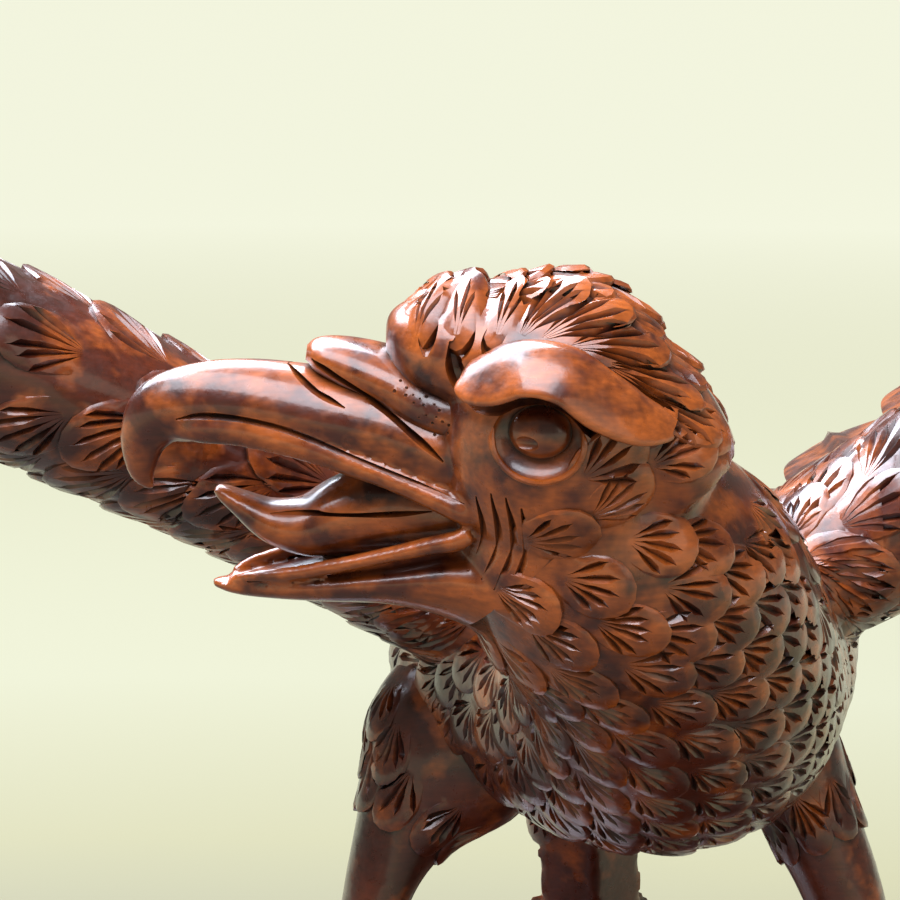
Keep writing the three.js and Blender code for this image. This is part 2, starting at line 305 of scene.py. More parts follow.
# painted shade: the colour darkens to near black in cuts and hollows, the more so the more wood lies within 2.4 mm
# around
hollow = add(tree, "ShaderNodeAmbientOcclusion", {"Distance": 0.0024}, samples=8)
painted_cut_shade = ramp(add(tree, "ShaderNodeValToRGB", links={"Fac": hollow.outputs["AO"]}),
                [(0.2, GREY(0.12)), (0.55, GREY(0.55)), (0.85, GREY(1))])
deep = add(tree, "ShaderNodeMix", {0: 1.0}, {6: grained.outputs[2], 7: painted_cut_shade.outputs["Color"]},
           data_type="RGBA", blend_type="MULTIPLY")
tree.links.new(deep.outputs[2], shader.inputs["Base Color"])
sheen_patches = add(tree, "ShaderNodeTexNoise", {"Scale": 1 / 0.002, "Detail": 3}, {"Vector": place})
dull = add(tree, "ShaderNodeMapRange", {"From Min": 0.3, "From Max": 0.7, "To Min": 0.24, "To Max": 0.42},
           {"Value": sheen_patches.outputs["Fac"]})
tree.links.new(dull.outputs["Result"], shader.inputs["Roughness"])
# tool chatter and brush marks about 0.7 mm apart, 0.03 mm deep
chatter = add(tree, "ShaderNodeTexNoise", {"Scale": 1 / 0.0011, "Detail": 3}, {"Vector": place})
relief = add(tree, "ShaderNodeBump", {"Strength": 0.5, "Distance": 0.00012}, {"Height": chatter.outputs["Fac"]})
tree.links.new(relief.outputs["Normal"], shader.inputs["Normal"])
shader.inputs["IOR"].default_value = 1.5
shader.inputs["Coat Weight"].default_value = 0.6
shader.inputs["Coat Roughness"].default_value = 0.13
shader.inputs["Coat IOR"].default_value = 1.5


def finished(piece):
    """The piece in metres, smooth but for its cut edges, in its finish and in the frame."""
    swept_clean(piece)
    piece.data.transform(Matrix.Scale(0.001, 4))
    piece.data.shade_smooth()
    piece.data.set_sharp_from_angle(angle=math.radians(34))
    piece.data.materials.clear()
    piece.data.materials.append(wood)
    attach(piece, "root")
    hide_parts("eagle_carving")
    low, high = [[f(c[i] for c in (v.co for v in piece.data.vertices)) for i in range(3)] for f in (min, max)]
    print("BOUNDS", piece.name, [round(1000 * v, 2) for v in low], [round(1000 * v, 2) for v in high],
          sum(len(face.vertices) - 2 for face in piece.data.polygons), flush=True)


# The scale feathers. Cheek, neck, breast, belly and back are covered with rows of rounded feathers,
# each carved as a low leaf that rises to its tip over the next, with a fan of V cuts from a
# parting tool. Every feather of a row starts in the notch between two feathers of the last.
FOCUS = head_place @ Vector((16, 0, -8))
SCALE = dict(width=8.6, length=11.6, lift=1.1, dome=0.3)
PACE, SPACING = 7.2, 7.6
NECK_END = -33
rng = random.Random(4)


def away_from_beak(point, up):
    away = point - FOCUS
    return (away - up * away.dot(up)).normalized()


def laid(skin, root, way, width, length, lift, dome):
    """A feather on the skin, its quill stepped along the surface in the way that it grows."""
    quill = []
    point, up, _, _ = skin.find_nearest(root)
    for _ in range(9):
        ahead = way(point, up)
        quill.append((point, ahead.cross(up), up))
        point, up, _, _ = skin.find_nearest(point + ahead * length / 8)
    return dict(quill=quill, width=width, length=length, lift=lift, dome=dome)


def lies_well(skin, feather):
    """Whether a feather lies smoothly, and isn't crumpled in a crease where the skin folds in."""
    for (_, side, up), (_, next_side, next_up) in zip(feather["quill"], feather["quill"][1:]):
        if side.dot(next_side) < 0.85 or up.dot(next_up) < 0.8:
            return False
    for point, side, _ in feather["quill"][2::3]:
        for across in (-0.45, 0.45):
            edge = point + side * feather["width"] * across
            if (skin.find_nearest(edge)[0] - edge).length > 0.2 * feather["width"]:
                return False
    return round_is_whole(skin, feather)


def round_is_whole(skin, feather):
    """Whether the round of a feather follows the skin without a jump from one fold to another."""
    turns = [2 * math.pi * i / 18 for i in range(18)]
    edge = [on_skin(skin, feather, feather["width"] * 0.52 * math.sin(turn),
                    feather["length"] * (0.5 + 0.5 * math.cos(turn)), 0) for turn in turns]
    return all((a - b).length < 0.27 * feather["length"] for a, b in zip(edge, edge[1:] + edge[:1]))


def on_skin(skin, feather, across, forward, height):
    """A point at a distance across and along the quill, lifted off the skin."""
    place = min(max(forward / feather["length"], 0), 1) * 8
    i = min(int(place), 7)
    (a, a_side, _), (b, b_side, _) = feather["quill"][i:i + 2]
    share = place - i
    point, up, _, _ = skin.find_nearest(a.lerp(b, share) + a_side.lerp(b_side, share) * across)
    return point + up * height


def feather_top(feather, across, forward):
    """How high the polished top of a feather stands over the skin."""
    t = max(forward / feather["length"], 0)
    s = across / (feather["width"] / 2)
    return feather["lift"] * (1.35 * t ** 0.8 * (1 - feather["dome"] * s * s) - 0.35)


def leaf_form():
    """A round tile of three rings and a centre, which every feather is bent from."""
    form = bmesh.new()
    bmesh.ops.create_cone(form, cap_ends=True, segments=18, radius1=1, radius2=1, depth=1)
    top = max(form.faces, key=lambda face: face.calc_center_median().z)
    for thickness in (0.1, 0.3):
        bmesh.ops.inset_region(form, faces=[top], thickness=thickness)
    bmesh.ops.poke(form, faces=[top])
    mesh = bpy.data.meshes.new("leaf")
    form.to_mesh(mesh)
    form.free()
    return mesh


def spindle_form():
    """The wood that one V cut takes out: a slim three-sided spindle, edge down, widest near its end."""
    form = sweep([[0, 0, 0, 0.04, 0.04], [0, 0.32, 0, 0.5, 0.5], [0, 0.72, 0, 1, 1],
                  [0, 1, 0, 0.04, 0.04]], -X, 3, 4)
    mesh = bpy.data.meshes.new("spindle")
    form.to_mesh(mesh)
    form.free()
    return mesh


def stamped(template, places, shape):
    """A copy of the template for each place, with its points put where shape says."""
    form = bmesh.new()
    for _ in places:
        form.from_mesh(template)
    form.verts.ensure_lookup_table()
    points = [vert.co.copy() for vert in template.vertices]
    for number, place in enumerate(places):
        for k, point in enumerate(points):
            form.verts[number * len(points) + k].co = shape(place, point)
    return form


def leaf_point(skin):
    def shape(feather, point):
        radius, angle = math.hypot(point.x, point.y), math.atan2(point.x, point.y)
        t = 0.5 + 0.5 * radius * math.cos(angle)
        across = feather["width"] / 2 * (0.8 + 0.28 * t) * radius * math.sin(angle)
        forward = feather["length"] * t
        if point.z < 0:
            return on_skin(skin, feather, across, forward, -1.6)
        rim = 0.25 * feather["lift"] if radius > 0.97 else 0
        return on_skin(skin, feather, across, forward, feather_top(feather, across, forward) - rim)
    return shape


def spindle_point(skin):
    def shape(cut, point):
        feather = cut["feather"]
        reach = cut["start"] + point.y * cut["length"]
        wide = point.x * cut["width"] / 2
        across = cut["aside"] + math.sin(cut["turn"]) * reach + math.cos(cut["turn"]) * wide
        forward = cut["back"] + math.cos(cut["turn"]) * reach - math.sin(cut["turn"]) * wide
        height = 0.4 if point.z > 0 else point.z * cut["depth"]
        top = max(feather_top(feather, across, forward), 0)
        return on_skin(skin, feather, across, forward, top + height)
    return shape


def fan_of_cuts(feather, count, spread, width, depth, reach):
    """V cuts that spread from the root of a feather towards its tip."""
    cuts = []
    for i in range(count):
        share = i / (count - 1) * 2 - 1
        length = feather["length"] * (reach - 0.12 * share * share + rng.uniform(-0.05, 0.03))
        cuts.append(dict(feather=feather, turn=math.radians(spread) * share + rng.uniform(-0.05, 0.05),
                         start=1.0, back=0.13 * feather["length"], aside=0, length=length,
                         width=width * rng.uniform(0.85, 1.15), depth=depth))
    return cuts


def sorted_apart(feathers):
    """Sets of feathers that don't touch each other within a set, so a set is added in one go."""
    sets = []
    for feather in feathers:
        middle, length = feather["quill"][4][0], feather["length"]
        for group in sets:
            if all((middle - other).length > 0.5 * (length + size) for other, size, _ in group):
                group.append((middle, length, feather))
                break
        else:
            sets.append([(middle, length, feather)])
    return [[feather for _, _, feather in group] for group in sets]


leaf, spindle = leaf_form(), spindle_form()


def carve(piece, skin, feathers, cuts_each, spread, width=2.2, depth=0.85, reach=0.6):
    """Raises the feathers on the piece, then cuts a fan into each, every other cut at a time."""
    groups = sorted_apart(feathers)
    for group in groups:
        combine(piece, [stamped(leaf, group, leaf_point(skin))], "UNION")
    for group in groups:
        fans = [fan_of_cuts(feather, rng.choice(cuts_each), spread, width, depth, reach) for feather in group]
        for first in (0, 1):
            cuts = [cut for fan in fans for cut in fan[first::2]]
            combine(piece, [stamped(spindle, cuts, spindle_point(skin))], "DIFFERENCE")
    print(piece.name, "feathers", len(feathers), "sets", len(groups), "triangles",
          sum(len(face.vertices) - 2 for face in piece.data.polygons), flush=True)


def next_row(row, skin):
    """The roots of the next row, one in each notch of this one, with gaps filled and crowds thinned."""
    def stepped(point):
        place, up, _, _ = skin.find_nearest(point)
        return skin.find_nearest(place + away_from_beak(place, up) * PACE)[0]
    notches = [stepped((a + b) / 2) for a, b in zip(row, row[1:] + row[:1])]
    evened = [skin.find_nearest(point * 0.6 + (before + after) * 0.2)[0]
              for before, point, after in zip(notches[-1:] + notches[:-1], notches, notches[1:] + notches[:1])]
    spaced = []
    for point, after in zip(evened, evened[1:] + evened[:1]):
        gap = (after - point).length
        if gap < 0.62 * SPACING:
            continue
        spaced.append(point)
        if gap > 1.42 * SPACING:
            spaced.append(skin.find_nearest((point + after) / 2)[0])
    return spaced


down_back = (head_turn @ Vector((-0.74, 0, -0.67))).normalized()
sideways = head_turn @ Y
ring_centre = head_place @ Vector((-1, 0, -3.7))
row = []
for i in range(18):
    angle = 2 * math.pi * i / 18
    ray = sideways.cross(down_back) * math.cos(angle) + sideways * math.sin(angle)
    row.append(torso_skin.find_nearest(ring_centre + ray * 22)[0])
feathers = []
for number in range(28):
    for root in row:
        near, _, _, off = block_skin.find_nearest(root)
        crowded = any((near - other["quill"][0][0]).length < (4.6 if number else 6) for other in feathers)
        on_crown = number < 4 and (head_place.inverted() @ root).z > 6
        if off < 4 and root.y < 60 and not crowded and not on_crown:
            feathers.append(laid(block_skin, near, away_from_beak, SCALE["width"] * rng.uniform(0.94, 1.06),
                                 SCALE["length"] * rng.uniform(0.95, 1.05), SCALE["lift"], SCALE["dome"]))
    row = next_row(row, torso_skin)

on_cheek = [(feather["quill"][0][0] - ring_centre).dot(down_back) < 4 for feather in feathers]
cheek_roots = [feather["quill"][0][0] for feather, first in zip(feathers, on_cheek) if first]
feathers = [feather for feather, first in zip(feathers, on_cheek) if not first and lies_well(block_skin, feather)]

for name, facing in (("eagle_neck", Y), ("eagle_body", -Y)):
    part = copied(block, name)
    cut_away(part, Vector((-34, 0, 0)), -X)
    cut_away(part, Vector((34, 0, 0)), X)
    cut_away(part, ring_centre + down_back * 5.5, -down_back)
    cut_away(part, Vector((0, NECK_END, 0)), facing)
    carve(part, block_skin, [feather for feather in feathers
                             if (feather["quill"][0][0].y < NECK_END) == (name == "eagle_neck")], (5, 5, 6), 34)
    finished(part)

# The wings. Each is an arm of the block, raised from the shoulder to the wrist, under rows of
# bigger feathers that run outwards from its leading edge. Ten flight feathers fan out behind it,
# split off each other with a flat chisel, each with a rib and cut barbs.
COVERT = dict(width=10.4, length=15, lift=1.1, dome=0.25)
LEADING = Vector((0, -0.75, 0.66))
FLIGHT = dict(count=10, half_width=10, half_thickness=2.6, shortest=54, longest=76, droop=3,
              innermost=0.22, outermost=0.96)
WING_RISE = math.radians(26)


def wing_feathers(keys, skin):
    """Rings of feathers round the arm, each ring half a feather on from the last."""
    places = []
    for ring in range(18):
        share = 0.1 + ring * 0.048
        for i in range(13):
            angle = 2 * math.pi * (i + 0.5 * (ring % 2)) / 13
            if math.cos(angle) > 0.6:
                continue
            centre, width, height, across, over, outwards = station(keys, share, Y)
            c, s = wing_section(angle, share)

            def way(point, up):
                trailing = LEADING - up * LEADING.dot(up)
                heading = outwards - trailing
                return (heading - up * heading.dot(up)).normalized()
            scale = 0.75 + 0.3 * width / 21
            places.append(laid(skin, centre + across * c * width + over * s * height, way,
                               COVERT["width"] * scale * rng.uniform(0.94, 1.06),
                               COVERT["length"] * scale * rng.uniform(0.94, 1.06),
                               COVERT["lift"], COVERT["dome"]))
    return places


def blade(root, heading, side, up, length, half_width, half_thickness, droop):
    """A long feather: thick along its rib, thin at its edges, round at its tip."""
    keys = []
    for share, wide in [(0, 0.6), (0.45, 1), (0.86, 0.93), (0.97, 0.6), (1, 0.2)]:
        at = root + heading * length * share - up * droop * share * share
        keys.append([*at, half_width * wide, half_thickness * (1 - 0.45 * share)])

    def ribbed(angle, share):
        c, s = math.cos(angle), math.sin(angle)
        return c, s * (0.34 + 0.66 * max(0, 1 - abs(c) / 0.24))
    return sweep(keys, side, 24, 20, ribbed)


def barbs(root, heading, side, up, length, half_width, droop):
    """Slanting V cuts down both vanes of a long feather, on its upper and lower face."""
    cuts = []
    for face in (1, -1):
        for vane in (1, -1):
            for k in range(9):
                share = 0.14 + k * 0.085
                start = root + heading * length * share - up * (droop * share * share - 1.1 * face)
                start += side * vane * half_width * 0.16
                way = (heading * 0.8 + side * vane * 0.6).normalized()
                cuts.append([[*(start + way * out), 0.6 * thick, 0.7 * thick]
                             for out, thick in ((0, 0.1), (3.5, 0.8), (7.5, 1), (10.5, 0.1))])
    return [sweep(keys, side, 4, 6) for keys in cuts]


for name, keys, outwards in (("eagle_right_wing", RIGHT_WING, -1), ("eagle_left_wing", LEFT_WING, 1)):
    wing = copied(block, name)
    cut_away(wing, Vector((34 * outwards, 0, 0)), -X * outwards)
    cut_away(wing, Vector((0, -50, 0)), -Y)
    out = Vector((outwards * math.cos(WING_RISE), 0, math.sin(WING_RISE)))
    top = Vector((-outwards * math.sin(WING_RISE), 0, math.cos(WING_RISE)))
    quills, marks = [], []
    for i in range(FLIGHT["count"]):
        t = i / (FLIGHT["count"] - 1)
        share = FLIGHT["innermost"] + (FLIGHT["outermost"] - FLIGHT["innermost"]) * t
        centre, width, _, across, _, _ = station(keys, share, Y)
        root = centre + across * width * 0.15 + top * (i % 2) * 1.4
        angle = math.radians(4 + 16 * t + 52 * t ** 3)
        heading = Y * math.cos(angle) + out * math.sin(angle)
        length = FLIGHT["shortest"] + (FLIGHT["longest"] - FLIGHT["shortest"]) * math.sin(0.62 * math.pi * t)
        side = heading.cross(top)
        quills.append(blade(root, heading, side, top, length, FLIGHT["half_width"], FLIGHT["half_thickness"],
                            FLIGHT["droop"]))
        marks.append(barbs(root, heading, side, top, length, FLIGHT["half_width"], FLIGHT["droop"]))
    for start in (0, 1):
        combine(wing, quills[start::2], "UNION")
    for start in (0, 1):
        combine(wing, [cut for cuts in marks[start::2] for cut in cuts], "DIFFERENCE")
    covers = [feather for feather in wing_feathers(keys, block_skin)
              if feather["quill"][0][0].x * outwards > 19 and round_is_whole(block_skin, feather)]
    carve(wing, block_skin, covers, (5, 6), 30, 2.5, 0.95, 0.7)
    finished(wing)

# The tail and the legs. The tail post comes down behind the legs to the rock and carries a fan of
# tail feathers; each leg ends in four clawed toes. They are left in broad flat cuts and polished.
TAIL_POST = [[5.5, 59, 64, 9, 6.5], [7, 63, 46, 8.6, 5.8], [8, 65, 29, 9.5, 5.6], [8, 65, 12, 10.5, 5.6]]
RIGHT_LEG = [
    [-18, 0, 94, 12, 14], [-25.5, -4, 82, 13.5, 12], [-32.5, -6, 72, 7.2, 7.6], [-37, -8, 61, 4.7, 6],
    [-39, -10, 46, 4.6, 5.4], [-40, -12, 33, 4.8, 5.4], [-40, -13, 24, 6, 6.4],
]
LEFT_LEG = [
    [15, -2, 92, 13, 14], [23, -5, 81, 9, 10.5], [27.5, -7, 71, 6.8, 8], [31.5, -9, 61, 5.8, 6.6],
    [35.5, -11, 46, 5, 5.6], [38, -12.5, 33, 5, 5.6], [39, -13.5, 24, 6, 6.4],
]
forms = [sweep(TAIL_POST, X, 4, 24), sweep(RIGHT_LEG, X, 24, 30), sweep(LEFT_LEG, X, 24, 30)]
for i in range(6):
    step = i - 2.5
    root = Vector((7, 64, 46)) + X * 1.1 * step
    tip = Vector((8, 82, 15)) + X * 7.6 * step - Y * 1.5 * abs(step) + Z * 2.5 * abs(step)
    heading = (tip - root).normalized()
    up = (Y - heading * heading.y).normalized()
    forms.append(blade(root, heading, heading.cross(up), up, (tip - root).length, 4.6, 2.2, 5))
for ankle in (Vector(RIGHT_LEG[-1][:3]), Vector(LEFT_LEG[-1][:3])):
    for turn in (-32, 2, 34, 178):
        reach = 19 * (0.75 if turn == 178 else 1)
        heading = Matrix.Rotation(math.radians(turn), 3, "Z") @ -Y
        keys = []
        for out, high, thick in ((0, 5, 4.4), (0.45 * reach, 5.2, 3.3), (0.78 * reach, 3, 3.3),
                                 (reach, 3, 1.9), (reach + 4.5, 2.8, 1.5), (reach + 9, -0.6, 0.4)):
            at = Vector((ankle.x, ankle.y, 22 + high)) + heading * out
            keys.append([*at, min(thick, 3.3), thick])
        forms.append(sweep(keys, heading.cross(Z), 14, 18))
legs = melted(forms, "eagle_legs_and_tail", 0.9, 3)
legs_skin = skin_of(legs)
thigh_feathers = []
for keys in (RIGHT_LEG, LEFT_LEG):
    for ring in range(4):
        centre, width, height, across, over, down = station(keys, 0.02 + 0.065 * ring, X)

        def downwards(point, up):
            return (down - up * down.dot(up)).normalized()
        for i in range(8):
            angle = 2 * math.pi * (i + 0.5 * (ring % 2)) / 8
            root, _, _, _ = legs_skin.find_nearest(centre + across * math.cos(angle) * width
                                                   + over * math.sin(angle) * height)
            skin_point, facing, _, _ = block_skin.find_nearest(root)
            if (root - skin_point).dot(facing) > -1.5:
                thigh_feathers.append(laid(legs_skin, root, downwards, 5 + 0.22 * width, 11.5, 0.9, 0.3))
carve(legs, legs_skin, thigh_feathers, (4, 5), 28)
finished(legs)

# The rock. The foot of the block, left rough from a broad gouge, with a flat underside.
ROCK = dict(half_length=66, half_width=76, height=22)
stone = bmesh.new()
bmesh.ops.create_cone(stone, cap_ends=True, segments=15, radius1=1, radius2=1, depth=1)
for point in stone.verts:
    angle = math.atan2(point.co.y, point.co.x)
    high = 1 if point.co.z > 0 else 0
    rough = 1 + 0.05 * math.sin(3 * angle + high) + 0.04 * math.sin(7 * angle - 2 * high)
    share = 0.86 if high else 0.99
    point.co = Vector((ROCK["half_length"] * share * rough * math.cos(angle),
                       ROCK["half_width"] * share * rough * math.sin(angle), ROCK["height"] * high))
rock = as_object([stone], "eagle_rock")
rock_skin = skin_of(rock)
gouge_rng = random.Random(9)
# three rows of round gouge cuts run round its sides, 1 to 1.6 mm deep and 10 mm apart
for row, height in enumerate((3.5, 11, 18.5)):
    cuts = []
    for i in range(45):
        angle = 2 * math.pi * (i + 0.5 * row + gouge_rng.uniform(-0.08, 0.08)) / 45
        place, out, _, _ = rock_skin.find_nearest(Vector((66 * math.cos(angle), 76 * math.sin(angle), height)))
        cuts.append(ball(place + out * (13 - gouge_rng.uniform(1, 1.6)), (13, 13, 13)))
    for first in range(3):
        combine(rock, cuts[first::3], "DIFFERENCE")
# long strokes of the same gouge cross its top, 0.4 mm deep
strokes = {}
for column in range(-8, 9):
    for number in range(-4, 5):
        at = Vector((7.2 * column, 15 * number + 7 * (column % 2), ROCK["height"] + 2.6))
        if math.hypot(at.x / 52, at.y / 62) < 1:
            turn = Matrix.Rotation(gouge_rng.uniform(-0.12, 0.12), 4, "Z")
            stroke = ball((0, 0, 0), (7, 15, 3), Matrix.Translation(at) @ turn, 3)
            strokes.setdefault((column % 3, number % 3), []).append(stroke)
for cuts in strokes.values():
    combine(rock, cuts, "DIFFERENCE")
finished(rock)

# The head. It is turned to the bird's right, so its left side faces the room: a heavy hooked beak,
# open over an upcurled tongue, a raised pored cere, a deep-set eye under a rolled brow, gape
# wrinkles behind the mouth, and a crown of thick overlapping locks.
UPPER_BEAK = [
    [4, 0, -2.5, 10.5, 7.5], [12, 0, -0.2, 9.4, 6.8], [20, 0, 2.5, 8.2, 5.9], [28, 0, 3.9, 7.0, 5.4],
    [35.5, 0, 5.1, 5.9, 5.0], [42, 0, 4.8, 4.7, 4.9], [46.9, 0, 3.4, 3.7, 4.4], [49.2, 0, 0.3, 2.7, 3.2],
    [49.75, 0, -2.9, 1.9, 2.2], [49.5, 0, -5.0, 1.2, 1.5], [48.3, 0, -6.9, 0.35, 0.4],
]
UPPER_LIP = [
    [45.2, 3.0, 1.6, 0.6, 0.8], [42.4, 3.9, 2.2, 1.1, 1.7], [37.4, 4.9, 2.3, 1.2, 1.9],
    [32.8, 5.6, 1.5, 1.3, 1.8], [28, 6.3, 0.3, 1.35, 1.7], [23.3, 7.1, -1.3, 1.4, 1.5],
    [18.3, 8.0, -3.0, 1.4, 1.35], [13.5, 8.9, -5.0, 1.4, 1.4], [9.6, 9.7, -6.6, 1.5, 1.5], [8.2, 9.7, -7.6, 1, 1],
]
LOWER_BEAK = [
    [4, 0, -17, 11, 9], [10, 0, -16.3, 9.6, 7.6], [18.4, 0, -16.9, 8, 4.6], [27, 0, -18.1, 6, 3.1],
    [33, 0, -18.8, 4.4, 2.2], [38, 0, -19.2, 2.6, 1.4], [41.0, 0, -19.0, 0.9, 0.7],
]
LOWER_LIP = [
    [38.4, 1.4, -18.3, 0.6, 0.6], [36, 3.0, -17.4, 0.8, 0.7], [30, 4.9, -16.2, 1, 0.9],
    [26.6, 5.8, -15.2, 1.1, 0.95], [23.4, 6.6, -14.3, 1.2, 0.95], [18.4, 7.7, -12.8, 1.3, 1.0],
    [13.5, 8.8, -11.3, 1.4, 1.2], [10.3, 9.6, -10.4, 1.5, 1.35], [8.5, 9.8, -9.3, 1.2, 1.2],
]
TONGUE = [
    [4, 0, -9, 6.5, 5.5], [12, 0, -9, 6.5, 5.5], [18, 0, -8.8, 6, 6.4], [24, 0, -10.2, 5.4, 5.2], [29, 0, -11.6, 4.8, 3.9],
    [33.5, 0, -10.9, 3.9, 2.8], [37.4, 0, -8.6, 2.8, 1.6], [39.6, 0, -7.2, 1.9, 1.0], [40.6, 0, -6.6, 0.8, 0.5],
]
CERE = [
    [8, 0, 3.8, 9.4, 4.9], [14, 0, 5.5, 8.4, 4.5], [19, 0, 8.1, 6.9, 3.6], [24, 0, 9.9, 5.2, 3],
    [27.4, 0, 10.9, 3.4, 2.1], [28.9, 0, 11.1, 1.2, 0.9],
]
BROW = [
    [9.9, 11.2, 11.3, 0.9, 0.8], [8.8, 12.0, 11.4, 2.3, 1.9], [6.1, 13.8, 12.1, 3.1, 2.6],
    [1.6, 15.6, 13.7, 3.4, 2.6], [-3.0, 16.2, 12.9, 3.4, 2.9], [-7.2, 16.3, 9.9, 3.1, 3.1],
    [-11.2, 15.6, 7.6, 2.7, 2.7], [-14.5, 14, 6.2, 1.9, 1.8], [-17.0, 12.4, 5.2, 0.6, 0.6],
]
EYE = dict(at=(0.4, 4.5), rim=(5.6, 4.9), socket=(5.8, 1.9, 5.1), ball_at=(0, -1.1, 1.1),
           ball_radii=(3.9, 2.1, 3.3), pupil_at=(1.5, 0.7, -0.5), pupil_radii=(1.7, 0.8, 1.0))


def beak_section(angle, share):
    """A keel above and a square edge below."""
    c, s = math.cos(angle), math.sin(angle)
    if s > 0:
        return c * (1 - 0.2 * s ** 1.5), s
    return math.copysign(abs(c) ** 0.75, c), s


def mandible_section(angle, share):
    """Flat on top and round below."""
    c, s = math.cos(angle), math.sin(angle)
    return c, s * (0.55 if s > 0 else 1)


def brow_section(outwards):
    """A flat polished face that leans out down to a crisp lower edge."""
    def section(angle, share):
        c, s = math.cos(angle), math.sin(angle)
        low = math.copysign(abs(s) ** 0.8, s)
        return 0.62 * math.copysign(abs(c) ** 0.7, c) + 0.85 * outwards * low, low
    return section


def mirrored(keys):
    return [[x, -y, z, *sizes] for x, y, z, *sizes in keys]


def both_sides(keys, *shape):
    return [sweep(keys, -Y, *shape, place=head_place), sweep(mirrored(keys), -Y, *shape, place=head_place)]


head = melted([sweep(UPPER_BEAK, -Y, 40, 50, beak_section, head_place), *both_sides(UPPER_LIP, 16, 30),
               sweep(LOWER_BEAK, -Y, 36, 40, mandible_section, head_place), *both_sides(LOWER_LIP, 16, 30),
               sweep(TONGUE, -Y, 24, 30, place=head_place), *skull(), sweep(BODY[:4], X, 48, 30)],
              "eagle_head", 0.45, 4)
combine(head, [sweep(CERE, -Y, 32, 40, place=head_place)], "UNION")
head_skin = skin_of(head)
cut_away(head, ring_centre + down_back * 5.5, down_back)


def on_face(x, z, side):
    """The point of the head's skin that is seen at x and z from one side."""
    out = head_turn @ Vector((0, side, 0))
    place = head_skin.ray_cast(head_place @ Vector((x, 40 * side, z)), -out)[0]
    return place or head_skin.find_nearest(head_place @ Vector((x, 4 * side, z)))[0]


def groove(path, side, width, depth, around=4):
    """A cut of a gouge along a path on one side of the head, fading out at both ends."""
    places = [on_face(x, z, side) for x, z in path]
    keys = []
    for i, point in enumerate(places):
        if 0 < i < len(path) - 1:
            point = point * 0.5 + (places[i - 1] + places[i + 1]) * 0.25
            keys.append([*point, depth, width / 2])
        else:
            keys.append([*point, depth * 0.25, width / 8])
    return sweep(keys, head_turn @ Vector((0, side, 0)), around, 6 * len(path))


TOMIAL = [(45.0, 3.6), (42.4, 4.5), (37.4, 4.3), (32.8, 3.5), (28, 2.0), (23.3, -0.1), (18.3, -1.9), (13.5, -3.6),
          (9.3, -5.2)]
LOWER_LINE = [(36.6, -18.0), (29.7, -17.2), (23.5, -15.8), (17.3, -14.4), (12.3, -13.0), (9.4, -12.0)]
TONGUE_LINE = [(33.4, -7.6), (31.0, -8.8), (24.7, -8.7), (17.3, -8.2), (13.3, -7.7)]
FURROWS = [
    [(14.1, 13.0), (13.9, 14.7), (13.5, 16.8), (13.2, 18.2)], [(10.9, 12.6), (10.2, 13.8), (9.1, 15.6), (8.2, 17.4)],
    [(6.9, 13.6), (6.3, 14.9), (5.1, 16.9), (4.2, 18.0)],
]
CERE_STEP = [(28.2, 11.0), (27.0, 10.4), (24.4, 9.0), (21.6, 7.3), (19, 5.6), (16.7, 3.6), (14.1, 1.8), (11.9, -0.2)]
NOSTRIL = [(31.2, 9.7), (29.4, 8.5), (27.6, 7.2), (26, 6.7), (24.0, 5.8)]
WRINKLES = [
    [(7.9, -3.5), (6.6, -7.2), (7.1, -11.1), (8.9, -14.6)], [(6.1, -2.6), (4.7, -7.2), (5.1, -11.3), (7.2, -15.4)],
    [(4.3, -2.8), (2.7, -7.2), (3.4, -11.9), (5.6, -16.5)], [(2.4, -4.0), (1.3, -7.6), (1.8, -11.9), (3.6, -16.5)],
]
UNDER_BROW = [(10.9, 15.2), (10.6, 12.2), (9.8, 9.3), (7.7, 7.8), (5.4, 8.1), (3.2, 9.2), (-0.3, 10.0), (-3.7, 8.8),
              (-5.9, 6.5), (-7.7, 4.8), (-10.7, 3.7), (-13.8, 3.7), (-16.5, 4.9), (-18, 6)]

for side in (1, -1):
    combine(head, [groove(TOMIAL, side, 1.0, 0.65)], "DIFFERENCE")
    combine(head, [groove(LOWER_LINE, side, 1.1, 0.7)], "DIFFERENCE")
    combine(head, [groove(CERE_STEP, side, 1.1, 1.0)], "DIFFERENCE")
    combine(head, [groove(TONGUE_LINE, side, 0.9, 0.8)], "DIFFERENCE")
    combine(head, [groove(NOSTRIL, side, 1.0, 1.0)], "DIFFERENCE")
    for path in WRINKLES:
        combine(head, [groove(path, side, 1.3, 0.8)], "DIFFERENCE")
    for path in FURROWS:
        combine(head, [groove(path, side, 2.6, 1.3, 8)], "DIFFERENCE")
    keys = BROW if side > 0 else mirrored(BROW)
    combine(head, [sweep(keys, -Y, 28, 60, brow_section(-side), head_place)], "UNION")
    combine(head, [groove(UNDER_BROW, side, 2.4, 2.2, 10)], "DIFFERENCE")
    rim = []
    for degrees in range(15, -200, -15):
        angle = math.radians(degrees)
        rim.append(on_face(EYE["at"][0] + EYE["rim"][0] * math.cos(angle),
                           EYE["at"][1] + EYE["rim"][1] * math.sin(angle), side))
    front, low, back = rim[1], rim[7], rim[13]
    along_eye = (front - back).normalized()
    out = (front - low).cross(along_eye).normalized()
    eye = Matrix((along_eye, out, along_eye.cross(out))).transposed().to_4x4()
    eye.translation = (front + back) / 2
    combine(head, [ball((0, 0.2 * side, 0), EYE["socket"], eye)], "DIFFERENCE")
    for name, operation in (("ball", "UNION"), ("pupil", "DIFFERENCE")):
        x, y, z = EYE[name + "_at"]
        combine(head, [ball((x, y * side, z), EYE[name + "_radii"], eye)], operation)
    thick = [0.12] + [0.42] * (len(rim) - 2) + [0.12]
    combine(head, [sweep([[*point, size, size] for point, size in zip(rim, thick)],
                         head_turn @ Vector((0, side, 0)), 8, 60)], "UNION")

